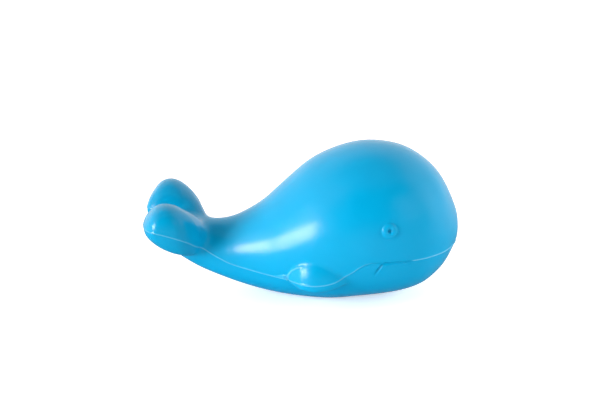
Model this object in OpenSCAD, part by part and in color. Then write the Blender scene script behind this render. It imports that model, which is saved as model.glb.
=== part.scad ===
// Squeaky bath whale: two bonded soft vinyl half shells, with a reed squeaker snapped into the belly.
// +X is the head and +Z is up. The origin is on the floor, under the middle of the whale's length.

/* [Body] */
// Length from the ends of the flukes to the snout
body_len = 120; // [100:1:150]
// Width of the head where it is widest
body_w = 57.8; // [50:0.2:66]
// Height of the back above the floor
body_h = 59.8; // [54:0.2:66]
// Thickness of the moulded vinyl
wall = 2; // [1.6:0.1:2.4]

/* [Flukes] */
// Length of one fluke, from its root in the stock to its end
fluke_len = 24.6; // [20:0.2:28]
// Width of one fluke across its length
fluke_w = 19.8; // [16:0.2:22]
// Thickness of one fluke
fluke_h = 19; // [15:0.2:21]

/* [Flippers] */
// Length of one flipper
flipper_len = 25; // [20:0.2:30]
// Height of one flipper's outer face
flipper_h = 12.2; // [11:0.2:16]
// How far a flipper's edge reaches out from its middle
flipper_out = 3.9; // [3:0.1:5]
// How far a flipper's root reaches into the flank from its middle
flipper_in = 9; // [7:0.5:11]

/* [Eyes] */
// Outside diameter of the moulded ring round an eye
eye_d = 5.8; // [4:0.1:8]
// Width of the ring's round bead
eye_bead = 2.1; // [1.4:0.1:2.6]
// Height of the ring above the skin
eye_rise = 0.6; // [0.3:0.1:1]

/* [Seam] */
// Height of the locating lip that the lower half holds inside the upper one
lip_h = 1.6; // [1:0.1:3]
// Thickness of the locating lip
lip_t = 1; // [0.8:0.1:1.4]
// Length of the plain seam behind the lip, through the flukes
lip_start = 29; // [27:0.5:34]
// Gap of the glue line round the lip
glue_gap = 0.15; // [0.1:0.05:0.3]

/* [Squeaker] */
// Outside diameter of the squeaker's barrel
barrel_d = 8; // [7:0.5:9]
// Length of the barrel above its flange
barrel_len = 9; // [8:0.5:12]
// Wall of the barrel
barrel_wall = 1; // [0.8:0.1:1.2]
// Diameter of the flange that rests against the shell
flange_d = 11.4; // [10.4:0.2:12]
// Thickness of the flange
flange_t = 1; // [0.8:0.1:1.4]
// Height of the flange above the floor
flange_lift = 0.4; // [0.2:0.1:0.8]
// Diameter of the sound hole in the flange
sound_d = 2.6; // [2:0.1:3]
// How far the snap bead stands out of the barrel
bead_rise = 0.6; // [0.3:0.1:0.8]
// Height of the vinyl socket that grips the barrel
socket_h = 5.5; // [4:0.5:6.5]
// Wall of the vinyl socket
socket_wall = 2.6; // [2.2:0.1:3]
// Gap between the squeaker and its seat in the vinyl
seat_gap = 0.1; // [0.05:0.05:0.3]

/* [Reed] */
// Thickness of the reed
reed_t = 0.2; // [0.15:0.05:0.3]
// Width of the reed
reed_w = 3.6; // [3:0.1:4]
// Free length of the reed above its clamp
reed_free = 5; // [4:0.2:6]
// Length of the reed inside its clamp
reed_root = 2; // [1.6:0.1:2.4]
// Gap between the resting reed and the flat that it beats on
reed_gap = 0.15; // [0.1:0.05:0.25]
// Width of the air channel under the reed
channel_w = 1.6; // [1.2:0.1:2]

/* [Hidden] */
vinyl = [0.1, 0.66, 0.9];
deep_vinyl = [0.06, 0.55, 0.8];
nylon = [0.93, 0.94, 0.92];
grey_nylon = [0.7, 0.74, 0.76];
film = [0.86, 0.66, 0.3];

// Stations of the body from rear to front: place, height of the middle, half height and half width.
// A place is a share of body_len, heights are shares of body_h, and a half width is a share of body_w.
station_shares = [
    [0.030, 0.436, 0.000, 0.000],
    [0.042, 0.439, 0.065, 0.074],
    [0.060, 0.429, 0.097, 0.107],
    [0.090, 0.408, 0.125, 0.135],
    [0.120, 0.384, 0.144, 0.152],
    [0.160, 0.349, 0.160, 0.163],
    [0.200, 0.319, 0.171, 0.172],
    [0.250, 0.298, 0.192, 0.191],
    [0.300, 0.293, 0.224, 0.219],
    [0.375, 0.315, 0.289, 0.283],
    [0.450, 0.370, 0.371, 0.366],
    [0.525, 0.427, 0.443, 0.439],
    [0.600, 0.464, 0.485, 0.481],
    [0.680, 0.495, 0.500, 0.499],
    [0.755, 0.504, 0.493, 0.491],
    [0.825, 0.500, 0.465, 0.458],
    [0.885, 0.487, 0.408, 0.401],
    [0.930, 0.480, 0.330, 0.323],
    [0.960, 0.468, 0.247, 0.243],
    [0.985, 0.459, 0.141, 0.144],
    [0.997, 0.448, 0.073, 0.075],
    [1.000, 0.434, 0.000, 0.000],
];

// Seam in side view, from rear to front: a share of body_len and a share of body_h.
seam_shares = [
    [-0.020, 0.502],
    [0.009, 0.522],
    [0.035, 0.528],
    [0.063, 0.520],
    [0.087, 0.505],
    [0.110, 0.488],
    [0.130, 0.468],
    [0.151, 0.436],
    [0.177, 0.378],
    [0.202, 0.334],
    [0.224, 0.306],
    [0.246, 0.283],
    [0.268, 0.262],
    [0.294, 0.247],
    [0.325, 0.234],
    [0.383, 0.215],
    [0.417, 0.208],
    [0.452, 0.207],
    [0.484, 0.210],
    [0.515, 0.210],
    [0.543, 0.211],
    [0.586, 0.221],
    [0.620, 0.244],
    [0.657, 0.294],
    [0.676, 0.326],
    [0.700, 0.356],
    [0.730, 0.367],
    [0.780, 0.364],
    [0.850, 0.362],
    [0.920, 0.361],
    [1.020, 0.354],
];

// A fluke from root to end: place as a share of its length, size as a share of its half width and
// half thickness, how far its middle lies outwards and upwards, and the reach of its outer face, as
// shares of its half width.
fluke_rows_shares = [
    [0.00, 0.00, -0.94, -0.70, 0.00],
    [0.05, 0.44, -0.84, -0.63, 0.42],
    [0.16, 0.78, -0.58, -0.50, 0.70],
    [0.29, 0.92, -0.28, -0.32, 0.82],
    [0.42, 0.98, -0.08, -0.14, 0.84],
    [0.55, 1.00, 0.00, 0.00, 0.83],
    [0.68, 0.93, -0.02, 0.08, 0.87],
    [0.80, 0.77, -0.17, 0.09, 1.01],
    [0.91, 0.50, -0.42, 0.02, 0.97],
    [0.97, 0.29, -0.56, -0.02, 0.64],
    [1.00, 0.00, -0.62, -0.05, 0.00],
];

// A flipper from front to rear, in the same way
flipper_rows_shares = [
    [0.00, 0.00, -0.50, 0.42, 0.00],
    [0.05, 0.27, -0.40, 0.38, 0.27],
    [0.14, 0.52, -0.25, 0.30, 0.52],
    [0.25, 0.74, -0.12, 0.20, 0.74],
    [0.37, 0.90, -0.04, 0.11, 0.90],
    [0.49, 0.99, 0.00, 0.04, 0.99],
    [0.61, 1.00, -0.02, 0.00, 1.00],
    [0.76, 0.90, -0.22, 0.00, 0.90],
    [0.87, 0.74, -0.64, 0.00, 0.74],
    [0.96, 0.50, -0.98, 0.00, 0.50],
    [1.00, 0.00, -1.05, 0.00, 0.00],
];

// Form of the outer face: power of the ridge along its top, slant of its upper part and tuck below
fluke_form_shares = [0.72, 0, 0.2];
flipper_form_shares = [1, 0.5, 0];

// Middles of a fluke, as shares of body_w and body_h, and of a flipper, with body_len first
fluke_shares = [0.243, 0.511];
flipper_shares = [0.558, 0.415, 0.207];
flipper_turns = [-3.5, 0, 10]; // yaw, pitch and roll
flipper_above_share = 0.685; // part of a flipper's height that lies above its middle

// An eye's place: stations from the rear, and the angle above the middle of the side
eye_station = 14.27;
eye_angle = 9.2;
overrun = 1; // how far a cutting shape runs past what it cuts

// Smooth curve through the rows of a table
function row_at(rows, i) = rows[max(0, min(len(rows) - 1, i))];
function spline(p0, p1, p2, p3, t) =
    p1 + (p2 - p0) * t / 2
    + (2 * p0 - 5 * p1 + 4 * p2 - p3) * t * t / 2
    + (3 * p1 - p0 - 3 * p2 + p3) * t * t * t / 2;
function along(rows, s) =
    let (i = min(floor(s), len(rows) - 2))
    spline(row_at(rows, i - 1), row_at(rows, i), row_at(rows, i + 1), row_at(rows, i + 2), s - i);
function unit(v) = v / norm(v);

// Points of the body's skin, in rings that stand across the whale
last_station = len(station_shares) - 1;
function body_point(s, angle) =
    let (
        r = along(station_shares, s),
        half_h = max(0, r[2]) * body_h,
        half_w = max(0, r[3]) * body_w
    )
    [(r[0] - 0.5) * body_len, -half_w * cos(angle), r[1] * body_h + half_h * sin(angle)];
function body_normal(s, angle) =
    let (
        ahead = body_point(s + 0.05, angle) - body_point(s - 0.05, angle),
        round = body_point(s, angle + 1) - body_point(s, angle - 1)
    )
    unit(cross(ahead, round));
function body_grid(inset, stops, sides) = [
    for (s = stops)
        [for (k = [0 : sides - 1])
            let (angle = 360 * (k + 0.5) / sides)
            body_point(s, angle) - inset * body_normal(s, angle)]
];

// A closed skin over rings of points, with one more point on each end
module skin(grid, rear, front) {
    n = len(grid[0]);
    m = len(grid);
    points = concat([for (ring = grid) each ring], [rear, front]);
    faces = concat(
        [for (i = [0 : m - 2], k = [0 : n - 1])
            let (a = i * n + k, b = i * n + (k + 1) % n)
            [a, b, b + n]],
        [for (i = [0 : m - 2], k = [0 : n - 1])
            let (a = i * n + k, b = i * n + (k + 1) % n)
            [a, b + n, a + n]],
        [for (k = [0 : n - 1]) [(k + 1) % n, k, m * n]],
        [for (k = [0 : n - 1]) [(m - 1) * n + k, (m - 1) * n + (k + 1) % n, m * n + 1]]
    );
    polyhedron(points, faces, convexity = 6);
}

outer_stops = concat([0.4], [for (i = [2 : 2 * last_station - 2]) i / 2], [last_station - 0.4]);
inner_stops = [for (i = [2 : last_station - 3]) i];
module body(inset) {
    outer = inset < wall / 2;
    rear = body_point(0, 0);
    front = body_point(last_station, 0);
    shift = outer ? inset : 2 * inset;
    skin(
        body_grid(inset, outer ? outer_stops : inner_stops, outer ? 36 : 24),
        rear + [shift, 0, 0],
        front - [shift, 0, 0]
    );
}

// A leaf is a closed skin along a middle line, with a table for its outline.
// The half sizes are its length, outward, inward, upward and downward.
function leaf_place(r, c, d, half, form) =
    let (
        crowned = c > 0 && d > 0,
        x = crowned ? pow(c, form[0]) : c,
        y = crowned ? pow(d, form[0]) : d,
        face = d > 0 ? x * (1 - form[1]) + (1 - y) * form[1] : x * (1 + form[2] * d)
    )
    [c > 0 ? face * r[4] * half[1] : c * r[1] * half[2], y * r[1] * (d > 0 ? half[3] : half[4])];
module leaf(middle, half, turns, rows, form, sides) {
    yaw = turns[0];
    pitch = turns[1];
    roll = turns[2];
    axis = [-cos(yaw) * cos(pitch), sin(yaw) * cos(pitch), sin(pitch)];
    level = unit(cross(axis, [0, 0, 1]));
    upright = cross(level, axis);
    outward = level * cos(roll) - upright * sin(roll);
    upward = upright * cos(roll) + level * sin(roll);
    function line_at(r) = middle + axis * half[0] * (2 * r[0] - 1)
        + (outward * r[2] + upward * r[3]) * half[1];
    grid = [
        for (i = [1 : len(rows) - 2])
            let (r = rows[i])
            [for (k = [0 : sides - 1])
                let (angle = 360 * k / sides, place = leaf_place(r, cos(angle), sin(angle), half, form))
                line_at(r) + outward * place[0] + upward * place[1]]
    ];
    skin(grid, line_at(rows[0]), line_at(rows[len(rows) - 1]));
}
fluke_middle = [(fluke_len - body_len) / 2, fluke_shares[0] * body_w, fluke_shares[1] * body_h];
flipper_middle = [
    (flipper_shares[0] - 0.5) * body_len,
    flipper_shares[1] * body_w,
    flipper_shares[2] * body_h
];

module both_sides() {
    children();
    mirror([0, 1, 0]) children();
}

module fluke(inset) {
    fine = inset < wall / 2;
    cut = [inset, inset, inset, inset, inset];
    half = [fluke_len / 2, fluke_w / 2, fluke_w / 2, fluke_h / 2, fluke_h / 2] - cut;
    leaf(fluke_middle, half, [0, 0, 0], fluke_rows_shares, fluke_form_shares, fine ? 18 : 10);
}

module flipper(inset) {
    fine = inset < wall / 2;
    cut = [inset, inset, inset, inset, inset];
    above = flipper_above_share * flipper_h;
    half = [flipper_len / 2, flipper_out, flipper_in, above, flipper_h - above] - cut;
    leaf(flipper_middle, half, flipper_turns, flipper_rows_shares, flipper_form_shares, fine ? 18 : 10);
}

module limbs(inset) {
    both_sides() {
        fluke(inset);
        flipper(inset);
    }
}

module whale(inset) {
    body(inset);
    limbs(inset);
}

// Everything above the seam, which is one curve swept across the whale
seam_steps = 2;
module above_seam(rise) {
    last = len(seam_shares) - 1;
    curve = [
        for (i = [0 : last * seam_steps])
            let (p = along(seam_shares, i / seam_steps))
            [(p[0] - 0.5) * body_len, p[1] * body_h + rise]
    ];
    top = body_h + overrun + wall;
    rotate([90, 0, 0])
        linear_extrude(body_w + 2 * overrun, center = true)
            polygon(concat(curve, [[curve[last * seam_steps][0], top], [curve[0][0], top]]));
}

// Everything under a level
module under(level) {
    side = 2 * body_len;
    translate([-side / 2, -side / 2, level - side]) cube(side);
}

// A bead round each eye, with a pit in its middle
module eye_ring() {
    at = body_point(eye_station, eye_angle);
    out = body_normal(eye_station, eye_angle);
    bead_r = eye_bead / 2;
    translate(at + out * (eye_rise - bead_r))
        rotate([0, acos(out[2]), atan2(out[1], out[0])])
            rotate_extrude($fn = 32)
                translate([eye_d / 2 - bead_r, 0])
                    circle(bead_r, $fn = 16);
}

module upper_shell() {
    color(vinyl) {
        difference() {
            intersection() {
                whale(0);
                above_seam(0);
            }
            whale(wall);
        }
        both_sides() eye_ring();
    }
}

// Squeaker sizes that follow from the others, with heights above the floor
squeaker_share = 0.6; // place along the body
seat_z = flange_lift + flange_t;
socket_top = seat_z + socket_h;
barrel_top = seat_z + barrel_len;
block_r = barrel_d / 2 - barrel_wall;
recess_gap = 3 * seat_gap;
module at_squeaker() {
    translate([(squeaker_share - 0.5) * body_len, 0, 0]) children();
}

// The lip runs in front of the flukes and stops at the flippers
module lip_zone() {
    difference() {
        translate([lip_start - body_len / 2, -body_w / 2, 0]) cube([body_len, body_w, body_h]);
        both_sides() flipper(0);
    }
}

module lower_shell() {
    lip_in = wall + glue_gap;
    color(deep_vinyl)
        difference() {
            union() {
                difference() {
                    whale(0);
                    above_seam(0);
                    under(0);
                }
                intersection() {
                    difference() {
                        body(lip_in);
                        above_seam(lip_h);
                        under(wall);
                    }
                    lip_zone();
                }
            }
            difference() {
                union() {
                    body(lip_in + lip_t);
                    limbs(wall);
                    difference() {
                        body(wall);
                        intersection() {
                            above_seam(-lip_h);
                            lip_zone();
                        }
                    }
                }
                under(wall);
                at_squeaker() socket();
            }
            at_squeaker() {
                translate([0, 0, -overrun])
                    cylinder(d = flange_d + 2 * recess_gap, h = seat_z + overrun, $fn = 64);
                cylinder(d = barrel_d + 2 * seat_gap, h = socket_top + overrun, $fn = 64);
            }
        }
}

module socket() {
    cylinder(d = barrel_d + 2 * seat_gap + 2 * socket_wall, h = socket_top, $fn = 64);
}

// The barrel is a cup that opens into the whale, with the sound hole in its floor
module squeaker_barrel() {
    r = barrel_d / 2;
    bead_z = socket_top + seat_gap;
    slope = 0.8 * bead_rise;
    color(nylon)
        at_squeaker()
            rotate_extrude($fn = 64)
                polygon([
                    [sound_d / 2, flange_lift],
                    [flange_d / 2 - flange_t / 3, flange_lift],
                    [flange_d / 2, flange_lift + flange_t / 3],
                    [flange_d / 2, seat_z],
                    [r, seat_z],
                    [r, bead_z],
                    [r + bead_rise, bead_z + slope / 2],
                    [r + bead_rise, bead_z + slope],
                    [r, bead_z + 3 * slope],
                    [r, barrel_top - barrel_wall / 3],
                    [r - barrel_wall / 3, barrel_top],
                    [block_r, barrel_top],
                    [block_r, seat_z],
                    [sound_d / 2, seat_z],
                ]);
}

// The reed stands across the block, clamped in its collar by the wedge
clamp_x = block_r / 5; // face of the collar that the reed's root lies against
flat_x = clamp_x - reed_gap; // face that the free reed beats on
collar_top = seat_z + reed_root + flange_t / 2;
reed_top = collar_top + reed_free;
pocket_x = 0.65 * block_r;
module block_at(x0, x1, width, z0, z1) {
    translate([x0, -width / 2, z0]) cube([x1 - x0, width, z1 - z0]);
}

module reed_block() {
    color(grey_nylon)
        at_squeaker()
            difference() {
                translate([0, 0, seat_z])
                    cylinder(r = block_r, h = reed_top + reed_gap - seat_z, $fn = 64);
                block_at(flat_x, barrel_d, barrel_d, collar_top, barrel_top);
                block_at(clamp_x, pocket_x, reed_w + 2 * seat_gap, collar_top - reed_root, barrel_top);
                block_at(-channel_w / 2, clamp_x, channel_w, seat_z - overrun, reed_top - channel_w / 2);
            }
}

module reed_wedge() {
    color(nylon)
        at_squeaker()
            block_at(clamp_x + reed_t, pocket_x, reed_w, collar_top - reed_root, collar_top);
}

module reed() {
    color(film)
        at_squeaker()
            block_at(clamp_x, clamp_x + reed_t, reed_w, collar_top - reed_root, reed_top);
}

upper_shell();
lower_shell();
squeaker_barrel();
reed_block();
reed_wedge();
reed();
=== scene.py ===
import bpy
import bmesh
import math
import numpy as np
from mathutils import Matrix, Quaternion, Vector


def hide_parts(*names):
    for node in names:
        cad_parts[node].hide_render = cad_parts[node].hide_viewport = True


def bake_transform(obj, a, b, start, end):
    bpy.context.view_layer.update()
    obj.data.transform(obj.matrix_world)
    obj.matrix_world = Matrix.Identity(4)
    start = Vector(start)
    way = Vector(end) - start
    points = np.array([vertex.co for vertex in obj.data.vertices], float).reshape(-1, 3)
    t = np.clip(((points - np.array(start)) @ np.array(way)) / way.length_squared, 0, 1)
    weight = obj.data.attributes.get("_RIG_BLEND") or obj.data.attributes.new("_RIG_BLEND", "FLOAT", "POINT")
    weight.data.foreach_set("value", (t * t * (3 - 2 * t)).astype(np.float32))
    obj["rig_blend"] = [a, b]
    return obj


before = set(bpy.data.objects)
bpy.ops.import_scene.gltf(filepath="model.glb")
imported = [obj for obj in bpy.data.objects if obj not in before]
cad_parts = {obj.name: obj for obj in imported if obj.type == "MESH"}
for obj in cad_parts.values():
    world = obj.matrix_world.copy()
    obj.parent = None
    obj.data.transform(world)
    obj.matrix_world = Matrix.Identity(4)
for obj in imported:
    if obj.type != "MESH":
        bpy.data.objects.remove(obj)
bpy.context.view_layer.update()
mm = 0.001
far = 1  # metre, beyond the toy on every side


# A point of a table, on a smooth curve through its rows
def alongRows(rows, s):
    i = min(int(s), len(rows) - 2)
    t = s - i
    near = [rows[max(0, min(len(rows) - 1, i + k))] for k in (-1, 0, 1, 2)]
    # a, b, c and d are one column's numbers in the two rows before the point and the two after
    return [
        b + (c - a) * t / 2
        + (2 * a - 5 * b + 4 * c - d) * t * t / 2
        + (3 * b - a - 3 * c + d) * t ** 3 / 2
        for a, b, c, d in zip(*near)
    ]


# Where rings go along a table: evenly, and closer together where its two ends round off
def ringStops(rows, steps, nearEnd):
    last = len(rows) - 1
    between = [k / steps for k in range(steps, (last - 1) * steps + 1)]
    return [*nearEnd, *between, *(last - s for s in reversed(nearEnd))]


# Joins unit circles, each given its profile and put in its place by a matrix, into one closed skin
def loftRings(bm, places, sides, profile=None):
    loops = []
    for k, place in enumerate(places):
        ring = bmesh.ops.create_circle(bm, segments=sides, radius=1)["verts"]
        if profile:
            for vert in ring:
                vert.co = profile(k, vert.co.x, vert.co.y)
        bmesh.ops.transform(bm, matrix=place, verts=ring)
        loops.append({edge for vert in ring for edge in vert.link_edges})
    for rear, front in zip(loops, loops[1:]):
        bmesh.ops.bridge_loops(bm, edges=list(rear | front))
    for end in (loops[0], loops[-1]):
        bmesh.ops.edgeloop_fill(bm, edges=list(end))


def smoothStep(low, high, value):
    t = max(0.0, min(1.0, (value - low) / (high - low)))
    return t * t * (3 - 2 * t)


# A box gives the range along x, of the distance from the middle plane, and of the height
def isInBox(point, box):
    (rear, front), (inner, outer), (low, high) = box
    return rear < point.x < front and inner < abs(point.y) < outer and low < point.z < high


def allOf(bm):
    return bm.verts[:] + bm.edges[:] + bm.faces[:]


def addObject(name, data):
    piece = bpy.data.objects.new(name, data)
    bpy.context.scene.collection.objects.link(piece)
    return piece


def meshObject(name, bm):
    mesh = bpy.data.meshes.new(name)
    bm.to_mesh(mesh)
    bm.free()
    return addObject(name, mesh)


# Gives a piece the mesh that its modifiers make, in place of the modifiers
def applyModifiers(piece):
    bpy.context.view_layer.update()
    depsgraph = bpy.context.evaluated_depsgraph_get()
    mesh = bpy.data.meshes.new_from_object(piece.evaluated_get(depsgraph))
    piece.modifiers.clear()
    old, piece.data = piece.data, mesh
    bpy.data.meshes.remove(old)


# The whale's skin: body, flukes and flippers as one soft form

whaleBody = {
    "length": 120 * mm,
    "width": 57.8 * mm,
    "height": 59.8 * mm,
    "wall": 2 * mm,
    "sides": 96,
    "steps": 4,  # rings from one row to the next
    "nearEnd": (0.12, 0.3, 0.5, 0.75),  # places of the rings next to either end
    # place along the length, height of the middle, half height, half width
    "rings": [
        [0.030, 0.436, 0.000, 0.000], [0.042, 0.439, 0.065, 0.074], [0.060, 0.429, 0.097, 0.107],
        [0.090, 0.408, 0.125, 0.135], [0.120, 0.384, 0.144, 0.152], [0.160, 0.349, 0.160, 0.163],
        [0.200, 0.319, 0.171, 0.172], [0.250, 0.298, 0.192, 0.191], [0.300, 0.293, 0.224, 0.219],
        [0.375, 0.315, 0.289, 0.283], [0.450, 0.370, 0.371, 0.366], [0.525, 0.427, 0.443, 0.439],
        [0.600, 0.464, 0.485, 0.481], [0.680, 0.495, 0.500, 0.499], [0.755, 0.504, 0.493, 0.491],
        [0.825, 0.500, 0.465, 0.458], [0.885, 0.487, 0.408, 0.401], [0.930, 0.480, 0.330, 0.323],
        [0.960, 0.468, 0.247, 0.243], [0.985, 0.459, 0.141, 0.144], [0.997, 0.448, 0.073, 0.075],
        [1.000, 0.434, 0.000, 0.000],
    ],
}
leafRings = {"sides": 40, "steps": 3, "nearEnd": (0.2, 0.45, 0.7)}
fluke = {
    "middle": (-47.7 * mm, 14.05 * mm, 30.56 * mm),
    "halfLength": 12.3 * mm,
    "halfSizes": (9.9 * mm, 9.9 * mm, 9.3 * mm, 9.7 * mm),  # outward, inward, up, down
    "yaw": 0, "roll": 0,  # degrees
    "slant": 0,
    "ridge": 0.72,  # below 1 it fills the corner between the top and the outer face
    "tuck": 0.2,  # how much the outer face draws in below
    # place from root to end, size, how far the middle lies outward and up, and reach of the outer face
    "rows": [
        [0.00, 0.00, -0.94, -0.70, 0.00], [0.05, 0.44, -0.84, -0.63, 0.42],
        [0.16, 0.78, -0.58, -0.50, 0.70], [0.29, 0.92, -0.28, -0.32, 0.82],
        [0.42, 0.98, -0.08, -0.14, 0.84], [0.55, 1.00, 0.00, 0.00, 0.83],
        [0.68, 0.93, -0.02, 0.08, 0.87], [0.80, 0.77, -0.17, 0.09, 1.01],
        [0.91, 0.50, -0.42, 0.02, 0.97], [0.97, 0.29, -0.56, -0.02, 0.64],
        [1.00, 0.00, -0.62, -0.05, 0.00],
    ],
}
flipper = {
    "middle": (6.96 * mm, 23.99 * mm, 12.38 * mm),
    "halfLength": 12.5 * mm,
    "halfSizes": (3.9 * mm, 9 * mm, 8.3 * mm, 3.83 * mm),
    "yaw": -3.5, "roll": 10,
    "slant": 0.5,  # how flat the upper face runs out to the lower edge
    "ridge": 1,
    "tuck": 0,
    "rows": [
        [0.00, 0.00, -0.50, 0.42, 0.00], [0.05, 0.27, -0.40, 0.38, 0.27],
        [0.14, 0.52, -0.25, 0.30, 0.52], [0.25, 0.74, -0.12, 0.20, 0.74],
        [0.37, 0.90, -0.04, 0.11, 0.90], [0.49, 0.99, 0.00, 0.04, 0.99],
        [0.61, 1.00, -0.02, 0.00, 1.00], [0.76, 0.90, -0.22, 0.00, 0.90],
        [0.87, 0.74, -0.64, 0.00, 0.74], [0.96, 0.50, -0.98, 0.00, 0.50],
        [1.00, 0.00, -1.05, 0.00, 0.00],
    ],
}
skin = {
    "voxel": 0.7 * mm,
    "rounds": 12, "flipperRounds": 5, "rootRounds": 40,  # of smoothing
    "ease": 0.5,  # how far a round moves a point
    # the flippers are kept crisper, and the roots of the flukes are softened
    "flipperBox": ((-8 * mm, 21 * mm), (16 * mm, far), (2 * mm, 25 * mm)),
    "rootBox": ((-46 * mm, -27 * mm), (-far, 13 * mm), (16 * mm, far)),
    "roundness": 0.4,  # how far the points added for fine detail follow the skin's curve
}


def bodyPlaces():
    places = []
    for s in ringStops(whaleBody["rings"], whaleBody["steps"], whaleBody["nearEnd"]):
        place, middle, halfHeight, halfWidth = alongRows(whaleBody["rings"], s)
        x, z = (place - 0.5) * whaleBody["length"], middle * whaleBody["height"]
        scale = (1, halfWidth * whaleBody["width"], halfHeight * whaleBody["height"], 1)
        places.append(
            Matrix.Translation((x, 0, z)) @ Matrix.Diagonal(scale) @ Matrix.Rotation(math.pi / 2, 4, "Y")
        )
    return places


# A leaf is lofted along its own curved middle line, with its own reach outward, inward, up and down
def addLeaf(bm, leaf):
    yaw, roll = math.radians(leaf["yaw"]), math.radians(leaf["roll"])
    axis = Vector((-math.cos(yaw), math.sin(yaw), 0))
    level = axis.cross(Vector((0, 0, 1))).normalized()
    upright = level.cross(axis)
    outward = level * math.cos(roll) - upright * math.sin(roll)
    upward = upright * math.cos(roll) + level * math.sin(roll)
    out, inner, up, down = leaf["halfSizes"]
    places, outerShares = [], []
    for s in ringStops(leaf["rows"], leafRings["steps"], leafRings["nearEnd"]):
        place, swell, shiftOut, shiftUp, outer = alongRows(leaf["rows"], s)
        middle = Vector(leaf["middle"]) + axis * leaf["halfLength"] * (2 * place - 1)
        middle += (outward * shiftOut + upward * shiftUp) * out
        columns = (outward * out * swell, upward * out * swell, axis, middle)
        places.append(Matrix([[c[row] for c in columns] for row in range(3)] + [[0, 0, 0, 1]]))
        outerShares.append(outer / swell)

    def profile(k, x, y):
        if x < 0:
            x *= inner / out
        else:
            if y > 0:
                x, y = x ** leaf["ridge"], y ** leaf["ridge"]
            else:
                x *= 1 + leaf["tuck"] * y
            x = outerShares[k] * (x if y < 0 else x * (1 - leaf["slant"]) + (1 - y) * leaf["slant"])
        return Vector((x, y * (up if y > 0 else down) / out, 0))

    loftRings(bm, places, leafRings["sides"], profile)


def makeSkin():
    bm = bmesh.new()
    addLeaf(bm, fluke)
    addLeaf(bm, flipper)
    bmesh.ops.mirror(bm, geom=allOf(bm), matrix=Matrix.Identity(4), merge_dist=-1, axis="Y")
    loftRings(bm, bodyPlaces(), whaleBody["sides"])
    bmesh.ops.recalc_face_normals(bm, faces=bm.faces)
    whale = meshObject("whaleSkin", bm)
    remesh = whale.modifiers.new("oneSkin", "REMESH")
    remesh.mode = "VOXEL"
    remesh.voxel_size = skin["voxel"]
    applyModifiers(whale)
    bm = bmesh.new()
    bm.from_mesh(whale.data)
    bpy.data.objects.remove(whale)
    elsewhere = [v for v in bm.verts if not isInBox(v.co, skin["flipperBox"])]
    roots = [v for v in bm.verts if isInBox(v.co, skin["rootBox"])]
    stages = ((bm.verts[:], "flipperRounds"), (elsewhere, "rounds"), (roots, "rootRounds"))
    for verts, rounds in stages:
        for _ in range(skin[rounds]):
            bmesh.ops.smooth_vert(
                bm, verts=verts, factor=skin["ease"], use_axis_x=True, use_axis_y=True, use_axis_z=True,
            )
    for vert in bm.verts:  # the flat that the toy stands on
        vert.co.z = max(vert.co.z, 0)
    return bm


# Adds points where fine detail needs them
def refine(bm, inside, cuts):
    edges = [e for e in bm.edges if inside(e.verts[0].co) or inside(e.verts[1].co)]
    bmesh.ops.subdivide_edges(bm, edges=edges, cuts=cuts, use_grid_fill=True, smooth=skin["roundness"])


# The seam, cut along one curve swept across the whale

seam = {
    "bead": 0.22 * mm,  # height of the thin flash that the mould leaves along it
    "halfWidth": 0.42 * mm,
    "taper": 1.3,  # above 1 it draws the flash in to a sharper crest
    "bands": (0, 0.2 * mm, -0.2 * mm, 0.42 * mm, -0.42 * mm),  # cuts that give the flash its points
    "snap": 0.09 * mm,  # a point this near a cut goes on to it
    "palenessAndHighlight": 0.5,  # of the flash elsewhere, where it is 1 at the snout; partly the flash's own paler vinyl, partly a painted highlight
    "steps": 8,  # points from one row to the next
    "slopeStep": 0.3 * mm,
    # share of the length, and height of the seam there
    "line": [
        [-0.020, 0.502], [0.009, 0.522], [0.035, 0.528], [0.063, 0.520], [0.087, 0.505],
        [0.110, 0.488], [0.130, 0.468], [0.151, 0.436], [0.177, 0.378], [0.202, 0.334],
        [0.224, 0.306], [0.246, 0.283], [0.268, 0.262], [0.294, 0.247], [0.325, 0.234],
        [0.383, 0.215], [0.417, 0.208], [0.452, 0.207], [0.484, 0.210], [0.515, 0.210],
        [0.543, 0.211], [0.586, 0.221], [0.620, 0.244], [0.657, 0.294], [0.676, 0.326],
        [0.700, 0.356], [0.730, 0.367], [0.780, 0.364], [0.850, 0.362], [0.920, 0.361],
        [1.020, 0.354],
    ],
}
seamPoints = [
    alongRows(seam["line"], k / seam["steps"])
    for k in range(seam["steps"] * (len(seam["line"]) - 1) + 1)
]
seamX = [(p[0] - 0.5) * whaleBody["length"] for p in seamPoints]
seamZ = [p[1] * whaleBody["height"] for p in seamPoints]


# Height of the seam at a place, and its slope
def seamAt(x):
    step = seam["slopeStep"]
    low, middle, high = np.interp([x - step, x, x + step], seamX, seamZ)
    return float(middle), float(high - low) / (2 * step)


# Slides every point up or down until the seam lies flat at zero, or back again
def levelSeam(bm, back=False):
    for vert in bm.verts:
        height, slope = seamAt(vert.co.x)
        flat = 1 / math.hypot(1, slope)
        vert.co.z = vert.co.z / flat + height if back else (vert.co.z - height) * flat


# Cuts the skin, and notes the side of each face and the share of the flash at each point
def cutAlongSeam(bm):
    levelSeam(bm)
    for level in seam["bands"]:
        bmesh.ops.bisect_plane(
            bm, geom=allOf(bm), dist=seam["snap"],
            plane_co=(0, 0, level), plane_no=(0, 0, 1), use_snap_center=True,
        )
    upperSide = bm.faces.layers.int.new("upperSide")
    flashAndHighlight = bm.verts.layers.float.new("flashAndHighlight")
    for face in bm.faces:
        face[upperSide] = face.calc_center_median().z > 0
    for vert in bm.verts:
        vert[flashAndHighlight] = max(0, 1 - abs(vert.co.z) / seam["halfWidth"]) ** seam["taper"]
    levelSeam(bm, back=True)
    bm.normal_update()


# The details, each a list of points and how far each of them moves

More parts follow.
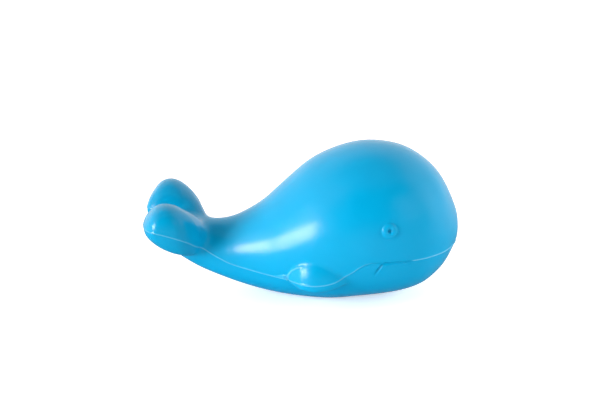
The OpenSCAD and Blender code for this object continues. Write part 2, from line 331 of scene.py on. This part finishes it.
eye = {
    "middle": (32.6 * mm, -27.6 * mm, 34.7 * mm),
    "ring": 1.72 * mm,  # radius of the bead's crest
    "halfBead": 1.22 * mm,
    "rise": 0.7 * mm,
    "pit": 0.34 * mm, "pitEdge": (0.25 * mm, 0.8 * mm),
    "moat": 0.05 * mm, "moatRing": 3.3 * mm, "halfMoat": 1.1 * mm,  # shallow dip around the bead
    "facing": 3 * mm,  # reach of the skin that gives the eye its direction
    "reach": 4.4 * mm,
    "cuts": 3,
}
mouth = {
    "inset": 0.25 * mm,  # how far the jaw lies inside the upper lip
    "insetFrom": (38 * mm, 43 * mm),
    "insetTo": (44 * mm, 52 * mm),
    "insetFade": (2 * mm, 9 * mm),  # below the seam
    "depth": 0.62 * mm,  # of the groove under the lip
    "halfWidth": 0.85 * mm,
    "lip": 0.42 * mm,  # from the seam down to the groove's middle
    "grooveFade": 4 * mm, "grooveEnd": 42.5 * mm,
    # the smile's corner in the side view, from its lower end to the lip
    "corner": [
        (27.4 * mm, 16.6 * mm), (28.2 * mm, 18.0 * mm), (29.1 * mm, 19.6 * mm),
        (30.1 * mm, 20.8 * mm), (31.6 * mm, 21.35 * mm),
    ],
    "cornerFade": (-0.6 * mm, 1.2 * mm),
    # the shallow line from the flipper to the smile
    "leadFrom": (19 * mm, 24 * mm), "leadDepth": 0.26 * mm, "leadDrop": 0.3 * mm,
    # where the flash fades out and comes back
    "faintFlash": (19 * mm, 30 * mm), "flashAgain": (40.6 * mm, 42.2 * mm),
    # where the skin gets more points: heights at the smile, and a band below the seam behind it
    "smileFrom": 26 * mm, "smileHeights": (15.5 * mm, 23.5 * mm),
    "bandMiddle": 0.7 * mm, "halfBand": 1.3 * mm,
    "outside": 8 * mm,  # least distance from the middle plane
    "cuts": 2,
}
rim = {  # the mould's crisp line along the flipper's rear edge, and the web of vinyl behind its corner
    "line": [
        (-5.0 * mm, 12.7 * mm), (-4.8 * mm, 14.6 * mm), (-3.6 * mm, 16.6 * mm),
        (-1.8 * mm, 18.1 * mm), (0.9 * mm, 19.6 * mm),
    ],
    "height": 0.28 * mm,
    "halfWidth": 0.5 * mm,
    # paleness of the rim: partly its own paler vinyl, partly a painted highlight
    "palenessAndHighlight": 0.45,
    "webFrom": -11.5 * mm, "webTo": -4.9 * mm,
    "webWidth": 2.6 * mm,
    "webHeight": 0.5 * mm,
    "webFlat": 0.55,  # share of its width that is level
    "webBelow": 0.3 * mm,  # reach below the seam
    "webPaleness": 0.25,
    "zone": ((15 * mm, far), (10 * mm, 20.5 * mm)),  # distance from the middle plane, and height
    "cuts": 2,
}


# Distance from a point to a broken line, both in the side view
def distanceTo(line, x, z):
    here = Vector((x, z))
    nearest = far
    for start, end in zip(line, line[1:]):
        a, side = Vector(start), Vector(end) - Vector(start)
        share = max(0, min(1, (here - a).dot(side) / side.length_squared))
        nearest = min(nearest, (here - a - side * share).length)
    return nearest


# The flash along the seam, where each point's share also becomes its paleness, partly the flash's own paler
# vinyl and partly a painted highlight
def flashMoves(bm):
    flashAndHighlight = bm.verts.layers.float["flashAndHighlight"]
    moves = []
    for vert in bm.verts:
        share, x = vert[flashAndHighlight], vert.co.x
        if share > 0:
            across = Vector((-seamAt(x)[1], 0, 1)).normalized()
            steep = 1 - across.dot(vert.normal) ** 2
            atSnout = smoothStep(*mouth["flashAgain"], x)
            share *= steep * (1 - (smoothStep(*mouth["faintFlash"], x) - atSnout))
            vert[flashAndHighlight] = share * (seam["palenessAndHighlight"] + (1 - seam["palenessAndHighlight"]) * atSnout)
            moves.append((vert, vert.normal * seam["bead"] * share))
    return moves


def isMouth(point):
    x, y, z = point
    if x < mouth["smileFrom"]:
        away = abs(seamAt(x)[0] - mouth["bandMiddle"] - z)
        near = x > mouth["leadFrom"][0] and away < mouth["halfBand"]
    else:
        near = x < mouth["grooveEnd"] and mouth["smileHeights"][0] < z < mouth["smileHeights"][1]
    return near and abs(y) > mouth["outside"]


def grooveShare(away):
    return 1 - smoothStep(0, mouth["halfWidth"], away)


# Depth at a place of the groove under the lip, of the smile's corner and of the line to its rear
def grooveDepth(point):
    x, z = point.x, point.z
    start, end = mouth["corner"][0][0], mouth["corner"][-1][0]
    middle = seamAt(x)[0] - mouth["lip"]
    if x > end:
        fade = 1 - smoothStep(mouth["grooveEnd"] - mouth["grooveFade"], mouth["grooveEnd"], x)
        return mouth["depth"] * (grooveShare(abs(middle - z)) * fade)
    low, high = mouth["cornerFade"]
    corner = grooveShare(distanceTo(mouth["corner"], x, z)) * smoothStep(start + low, start + high, x)
    lead = grooveShare(abs(middle - mouth["leadDrop"] - z)) * smoothStep(*mouth["leadFrom"], x)
    return max(mouth["depth"] * corner, mouth["leadDepth"] * lead)


def mouthMoves(bm):
    return [(v, v.normal * -grooveDepth(v.co)) for v in bm.verts if isMouth(v.co)]


# How far the jaw lies inside the upper lip at a place
def jawInset(point):
    x, below = point.x, seamAt(point.x)[0] - point.z
    along = smoothStep(*mouth["insetFrom"], x) * (1 - smoothStep(*mouth["insetTo"], x))
    return mouth["inset"] * along * (1 - smoothStep(*mouth["insetFade"], below))


def isRim(point):
    return isInBox(point, ((rim["webFrom"], rim["line"][-1][0]), *rim["zone"]))


# Height of the flipper's rim and of the web at a place, and how pale the rim and the stretched vinyl are
# there; the rim's paleness is partly a painted highlight
def rimHeight(point):
    x, z = point.x, point.z
    bead = 1 - smoothStep(0, rim["halfWidth"], distanceTo(rim["line"], x, z))
    bead *= 1 - smoothStep(rim["line"][-2][0], rim["line"][-1][0], x)
    share = (x - rim["webFrom"]) / (rim["webTo"] - rim["webFrom"])
    above = z - seamAt(x)[0]
    web = 0
    if 0 < share < 1 and above > -rim["webBelow"]:
        level = rim["webFlat"] * share * rim["webWidth"]
        web = share * (1 - smoothStep(level, share * rim["webWidth"], above))
    height = rim["height"] * bead + rim["webHeight"] * web
    return height, max(bead * rim["palenessAndHighlight"], web * rim["webPaleness"])


def rimMoves(bm):
    flashAndHighlight = bm.verts.layers.float["flashAndHighlight"]
    moves = []
    for vert in bm.verts:
        if isRim(vert.co):
            height, palenessAndHighlight = rimHeight(vert.co)
            vert[flashAndHighlight] = max(vert[flashAndHighlight], palenessAndHighlight)
            moves.append((vert, vert.normal * height))
    return moves


# Height of the eye at a distance from its middle
def eyeHeight(r):
    t = (r - eye["ring"]) / eye["halfBead"]
    bead = eye["rise"] * math.sqrt(max(0, 1 - t * t))
    hollow = -eye["pit"] * (1 - smoothStep(*eye["pitEdge"], r))
    moat = -eye["moat"] * (1 - smoothStep(0, eye["halfMoat"], abs(r - eye["moatRing"])))
    return bead + hollow + moat


def eyeMoves(bm, middle):
    near = [v for v in bm.verts if (v.co - middle).length < eye["reach"]]
    facing = [v.normal for v in near if (v.co - middle).length < eye["facing"]]
    out = sum(facing, Vector()).normalized()
    moves = []
    for vert in near:
        offset = vert.co - middle
        r = (offset - out * offset.dot(out)).length
        moves.append((vert, out * eyeHeight(r)))
    return moves


def applyMoves(moves):
    for vert, move in moves:
        vert.co += move


# One half of the skin, with its wall
def makeShell(name, bm, keep):
    half = bm.copy()
    side = half.faces.layers.int["upperSide"]
    bmesh.ops.delete(half, geom=[f for f in half.faces if f[side] != keep], context="FACES")
    if name == "vinylLower":
        half.normal_update()
        jaw = [v for v in half.verts if v.co.x > mouth["insetFrom"][0]]
        applyMoves([(v, v.normal * -jawInset(v.co)) for v in jaw])
    for face in half.faces:
        face.smooth = True
    shell = meshObject(name, half)
    wall = shell.modifiers.new("wall", "SOLIDIFY")
    wall.thickness = whaleBody["wall"]
    wall.offset = -1
    wall.use_quality_normals = True
    return shell


def makeShells():
    bm = makeSkin()
    print("skin: %d points" % len(bm.verts))
    x, y, z = eye["middle"]
    eyes = [Vector((x, side * y, z)) for side in (1, -1)]
    refine(bm, lambda p: min((p - e).length for e in eyes) < eye["reach"], eye["cuts"])
    refine(bm, isMouth, mouth["cuts"])
    refine(bm, isRim, rim["cuts"])
    cutAlongSeam(bm)
    moves = flashMoves(bm) + mouthMoves(bm) + rimMoves(bm)
    for middle in eyes:
        moves += eyeMoves(bm, middle)
    applyMoves(moves)
    shells = {name: makeShell(name, bm, keep) for name, keep in (("vinylUpper", 1), ("vinylLower", 0))}
    bm.free()
    return shells


# The squeaker's seat in the belly, cut as the plastic cup needs it

seat = {
    "middle": (12 * mm, 0),
    "recess": 12 * mm, "recessDepth": 1.4 * mm,
    "bore": 8.2 * mm,
    "tube": 13.4 * mm, "tubeFrom": 1 * mm, "top": 6.9 * mm,
    "overrun": 1 * mm,  # how far a cut runs past the vinyl
    "sides": 64,
    "sharpAngle": 40,
}


def seatCylinder(diameter, low, high):
    bm = bmesh.new()
    bmesh.ops.create_cone(
        bm, cap_ends=True, segments=seat["sides"], radius1=diameter / 2, radius2=diameter / 2,
        depth=high - low, matrix=Matrix.Translation((*seat["middle"], (low + high) / 2)),
    )
    return meshObject("seatTool", bm)


def cutSeat(shell):
    over = seat["overrun"]
    tools = [
        ("UNION", seatCylinder(seat["tube"], seat["tubeFrom"], seat["top"])),
        ("DIFFERENCE", seatCylinder(seat["bore"], -over, seat["top"] + over)),
        ("DIFFERENCE", seatCylinder(seat["recess"], -over, seat["recessDepth"])),
    ]
    for operation, tool in tools:
        cut = shell.modifiers.new("seat", "BOOLEAN")
        cut.operation = operation
        cut.object = tool
        cut.solver = "EXACT"
    applyModifiers(shell)
    for _, tool in tools:
        bpy.data.objects.remove(tool)
    for polygon in shell.data.polygons:
        polygon.use_smooth = True
    shell.data.set_sharp_from_angle(angle=math.radians(seat["sharpAngle"]))


shells = makeShells()
for shell in shells.values():
    applyModifiers(shell)
cutSeat(shells["vinylLower"])
print("shells: %s" % {name: len(s.data.polygons) for name, s in shells.items()})


# Materials

def newMaterial(name, **values):
    material = bpy.data.materials.new(name)
    material.use_nodes = True
    shader = material.node_tree.nodes["Principled BSDF"]
    for socket, value in values.items():
        shader.inputs[socket.replace("_", " ")].default_value = value
    return material, material.node_tree, shader


def addNode(tree, kind, inputs=None, **settings):
    node = tree.nodes.new(kind)
    for key, value in settings.items():
        setattr(node, key, value)
    for key, value in (inputs or {}).items():
        node.inputs[key].default_value = value
    return node


# Maps one range of values on to another
def rangeNode(tree, source, target=(0, 1), **settings):
    inputs = {"From Min": source[0], "From Max": source[1], "To Min": target[0], "To Max": target[1]}
    return addNode(tree, "ShaderNodeMapRange", inputs, **settings)


# Noise in the piece's own coordinates
def noiseNode(tree, place, scale, detail):
    noise = addNode(tree, "ShaderNodeTexNoise", {"Scale": scale, "Detail": detail})
    tree.links.new(place.outputs["Object"], noise.inputs["Vector"])
    return noise


def bumpNode(tree, noise, strength, depth):
    bump = addNode(tree, "ShaderNodeBump", {"Strength": strength, "Distance": depth})
    tree.links.new(noise.outputs["Fac"], bump.inputs["Height"])
    return bump


vinylLook = {
    "deep": (0.0, 0.27, 0.495, 1), "light": (0.0, 0.31, 0.55, 1),  # two blues that drift into each other
    "drift": 38, "driftDetail": 3,
    "edge": (0.24, 0.6, 0.8, 1), "edgeShare": 0.7,  # of the flash, the rim and the stretched web; on the flash and rim partly a painted highlight
    "tail": (-42 * mm, -34 * mm), "tailPaintedShade": 0.84,  # painted shade: the tail's colour is darkened a little against the body
    "roughness": (0.22, 0.265), "roughFrom": (0.3, 0.7),  # and the range of the dimples that it follows
    "specular": 0.3,
    "depth": 1.5 * mm, "depthShare": 0.1, "depthByColour": (0.3, 0.8, 1.2),  # of the light in the vinyl
    "dimples": 160, "dimpleDetail": 3, "dimpleStrength": 0.25, "dimpleDepth": 0.2 * mm,
    "grain": 1500, "grainDetail": 2, "grainStrength": 0.12, "grainDepth": 0.06 * mm,
}


def vinylMaterial():
    look = vinylLook
    material, tree, shader = newMaterial(
        "softVinyl", IOR=1.5, Specular_IOR_Level=look["specular"], Subsurface_Weight=look["depthShare"],
        Subsurface_Radius=look["depthByColour"], Subsurface_Scale=look["depth"],
    )
    link = tree.links.new
    place = addNode(tree, "ShaderNodeTexCoord")
    cloud = noiseNode(tree, place, look["drift"], look["driftDetail"])
    blend = addNode(tree, "ShaderNodeMix", {"A": look["deep"], "B": look["light"]}, data_type="RGBA")
    # paler along the flash and rim: partly their own paler vinyl, partly a painted highlight
    flashAndHighlight = addNode(tree, "ShaderNodeAttribute", attribute_name="flashAndHighlight")
    paler = addNode(tree, "ShaderNodeMath", {1: look["edgeShare"]}, operation="MULTIPLY")
    edge = addNode(tree, "ShaderNodeMix", {"B": look["edge"]}, data_type="RGBA")
    link(cloud.outputs["Fac"], blend.inputs["Factor"])
    link(blend.outputs[2], edge.inputs[6])
    link(flashAndHighlight.outputs["Fac"], paler.inputs[0])
    link(paler.outputs[0], edge.inputs["Factor"])

    split = addNode(tree, "ShaderNodeSeparateXYZ")
    # painted shade that darkens the base colour over the tail's range
    paintedTailShade = rangeNode(tree, look["tail"], (look["tailPaintedShade"], 1))
    whole = addNode(tree, "ShaderNodeVectorMath", operation="SCALE")
    link(place.outputs["Object"], split.inputs[0])
    link(split.outputs["X"], paintedTailShade.inputs["Value"])
    link(paintedTailShade.outputs[0], whole.inputs["Scale"])
    link(edge.outputs[2], whole.inputs[0])
    link(whole.outputs[0], shader.inputs["Base Color"])

    grain = noiseNode(tree, place, look["grain"], look["grainDetail"])
    dimples = noiseNode(tree, place, look["dimples"], look["dimpleDetail"])
    fine = bumpNode(tree, grain, look["grainStrength"], look["grainDepth"])
    broad = bumpNode(tree, dimples, look["dimpleStrength"], look["dimpleDepth"])
    gloss = rangeNode(tree, look["roughFrom"], look["roughness"])
    link(broad.outputs[0], fine.inputs["Normal"])
    link(fine.outputs[0], shader.inputs["Normal"])
    link(dimples.outputs["Fac"], gloss.inputs["Value"])
    link(gloss.outputs[0], shader.inputs["Roughness"])
    return material


# name, colour, roughness and scale of the grain
plastics = {
    "squeaker_barrel": ("whitePlastic", (0.82, 0.83, 0.8), 0.42, 700),
    "reed_block": ("greyPlastic", (0.5, 0.53, 0.54), 0.45, 900),
    "reed_wedge": ("wedgePlastic", (0.75, 0.76, 0.72), 0.45, 900),
    "reed": ("amberFilm", (0.62, 0.4, 0.12), 0.22, 1200),
}
plasticNoise = {"detail": 3, "darkest": 0.8, "strength": 0.15, "depth": 0.05 * mm}


def plasticMaterial(name, colour, roughness, scale):
    material, tree, shader = newMaterial(name, Roughness=roughness, IOR=1.52)
    place = addNode(tree, "ShaderNodeTexCoord")
    noise = noiseNode(tree, place, scale, plasticNoise["detail"])
    darker = tuple(plasticNoise["darkest"] * c for c in colour) + (1,)
    blend = addNode(tree, "ShaderNodeMix", {"A": darker, "B": (*colour, 1)}, data_type="RGBA")
    bump = bumpNode(tree, noise, plasticNoise["strength"], plasticNoise["depth"])
    tree.links.new(noise.outputs["Fac"], blend.inputs["Factor"])
    tree.links.new(blend.outputs[2], shader.inputs["Base Color"])
    tree.links.new(bump.outputs[0], shader.inputs["Normal"])
    return material


def wear(piece, material):
    piece.data.materials.clear()
    piece.data.materials.append(material)


vinyl = vinylMaterial()
for shell in shells.values():
    wear(shell, vinyl)
for node, look in plastics.items():
    material = plasticMaterial(*look)
    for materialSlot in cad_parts[node].material_slots:
        materialSlot.material = material
print("materials: the vinyl and %d plastics" % len(plastics))

squeeze = {"start": (0, 0, 12.5 * mm), "end": (0, 0, 59.8 * mm)}
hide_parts("upper_shell")
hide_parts("lower_shell")
for shell in shells.values():
    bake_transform(shell, "lower", "upper", start=squeeze["start"], end=squeeze["end"])


# Floor, lights and camera, in metres, degrees and watts

paper = {
    "size": 6,
    "colour": (0.93, 0.93, 0.93, 1),
    "roughness": 0.75,
    "glow": 0.27, "seen": 0.45,  # the camera sees the paper overexposed, as in the photo
}
windowLamp = {
    "azimuth": -54, "height": 0.075, "distance": 0.8,
    "size": (0.4, 0.29), "tilt": 24,
    "watts": 7.4, "colour": (1, 0.84, 0.8),
}
softLamps = {
    "windowSoft": {"place": (-0.68, -0.42, 0.05), "size": 0.25, "watts": 6},
    "sideLeft": {"place": (-1.1, -0.5, 0.45), "size": 0.6, "watts": 11},
    "sideRight": {"place": (1.2, 0, 0.4), "size": 0.6, "watts": 6},
    "fill": {"place": (0.75, -0.62, 0.42), "size": 0.6, "watts": 5},
}
softAim = (0, 0, 0.02)
room = {
    "strength": 1.4,
    # dark in front of the toy and evenly bright elsewhere, by degrees of turn from the tail's side
    "byTurn": [(0, 0.8), (35, 0.8), (65, 0), (150, 0), (190, 0.8), (360, 0.8)],
    # share of that by height, from straight down at -1 to straight up at 1
    "byHeight": [(-1, 0), (-0.5, 0.2), (0, 1), (1, 1)],
    "overhead": 0.2, "overheadFrom": (0.75, 0.95),
}
view = {
    "aim": (1.774 * mm, 0, 35.25 * mm),
    "distance": 730 * mm,
    "elevation": 20,
    "lens": 112.5, "sensor": 36,
}


def lookAt(piece, target, tilt=0):
    direction = Vector(target) - piece.location
    roll = Quaternion((0, 0, 1), math.radians(tilt))
    piece.rotation_euler = (direction.to_track_quat("-Z", "Y") @ roll).to_euler()


def addFloor():
    bm = bmesh.new()
    bmesh.ops.create_grid(bm, x_segments=2, y_segments=2, size=paper["size"] / 2)
    floor = meshObject("floor", bm)
    material, tree, shader = newMaterial(
        "paper", Roughness=paper["roughness"], Base_Color=paper["colour"], Emission_Color=(1, 1, 1, 1),
    )
    seen = addNode(tree, "ShaderNodeLightPath")
    glow = rangeNode(tree, (0, 1), (paper["glow"], paper["seen"]))
    tree.links.new(seen.outputs["Is Camera Ray"], glow.inputs["Value"])
    tree.links.new(glow.outputs[0], shader.inputs["Emission Strength"])
    wear(floor, material)
    floor.visible_glossy = False


# The window gives only the shine, and the soft lamps only the light
def addLamps():
    light = bpy.data.lights.new("window", "AREA")
    light.shape = "RECTANGLE"
    light.size, light.size_y = windowLamp["size"]
    light.energy = windowLamp["watts"]
    light.color = windowLamp["colour"]
    lamp = addObject("window", light)
    azimuth, distance = math.radians(windowLamp["azimuth"]), windowLamp["distance"]
    height = windowLamp["height"]
    lamp.location = (distance * math.sin(azimuth), -distance * math.cos(azimuth), height)
    lookAt(lamp, (0, 0, height), windowLamp["tilt"])
    lamp.visible_diffuse = False

    for name, look in softLamps.items():
        light = bpy.data.lights.new(name, "AREA")
        light.size = look["size"]
        light.energy = look["watts"]
        lamp = addObject(name, light)
        lamp.location = look["place"]
        lookAt(lamp, softAim)
        lamp.visible_glossy = False


def greyRamp(tree, stops):
    ramp = addNode(tree, "ShaderNodeValToRGB")
    ramp.color_ramp.interpolation = "EASE"
    for position, _ in stops[1:-1]:
        ramp.color_ramp.elements.new(position)
    for stop, (position, grey) in zip(ramp.color_ramp.elements, stops):
        stop.position, stop.color = position, (grey, grey, grey, 1)
    return ramp


def addRoom():
    world = bpy.data.worlds.new("room")
    bpy.context.scene.world = world
    world.use_nodes = True
    tree = world.node_tree
    link = tree.links.new
    sky = tree.nodes["Background"]
    place = addNode(tree, "ShaderNodeTexCoord")
    split = addNode(tree, "ShaderNodeSeparateXYZ")
    turn = addNode(tree, "ShaderNodeTexGradient", gradient_type="RADIAL")
    height = rangeNode(tree, (-1, 1))
    byTurn = greyRamp(tree, [(degrees / 360, grey) for degrees, grey in room["byTurn"]])
    byHeight = greyRamp(tree, [(z / 2 + 0.5, grey) for z, grey in room["byHeight"]])
    walls = addNode(tree, "ShaderNodeMath", operation="MULTIPLY")
    top = rangeNode(tree, room["overheadFrom"], interpolation_type="SMOOTHSTEP")
    strength = addNode(tree, "ShaderNodeMix", {"B": room["overhead"]}, data_type="FLOAT")
    whole = addNode(tree, "ShaderNodeMath", {1: room["strength"]}, operation="MULTIPLY")
    link(place.outputs["Generated"], turn.inputs[0])
    link(place.outputs["Generated"], split.inputs[0])
    link(turn.outputs["Fac"], byTurn.inputs["Fac"])
    link(split.outputs["Z"], height.inputs["Value"])
    link(split.outputs["Z"], top.inputs["Value"])
    link(height.outputs[0], byHeight.inputs["Fac"])
    link(byTurn.outputs["Color"], walls.inputs[0])
    link(byHeight.outputs["Color"], walls.inputs[1])
    link(walls.outputs[0], strength.inputs["A"])
    link(top.outputs[0], strength.inputs["Factor"])
    link(strength.outputs[0], whole.inputs[0])
    link(whole.outputs[0], sky.inputs["Strength"])
    sky.inputs["Color"].default_value = (1, 1, 1, 1)


def addCamera():
    camera = addObject("camera", bpy.data.cameras.new("camera"))
    camera.data.lens = view["lens"]
    camera.data.sensor_width = view["sensor"]
    camera.data.sensor_fit = "HORIZONTAL"
    angle = math.radians(view["elevation"])
    back = Vector((0, -math.cos(angle), math.sin(angle))) * view["distance"]
    camera.location = Vector(view["aim"]) + back
    lookAt(camera, view["aim"])
    bpy.context.scene.camera = camera
    bpy.context.scene.view_settings.view_transform = "Standard"
    bpy.context.scene.view_settings.look = "None"


addFloor()
addLamps()
addRoom()
addCamera()
print("studio: floor, %d lamps, the room and the camera" % (len(softLamps) + 1))
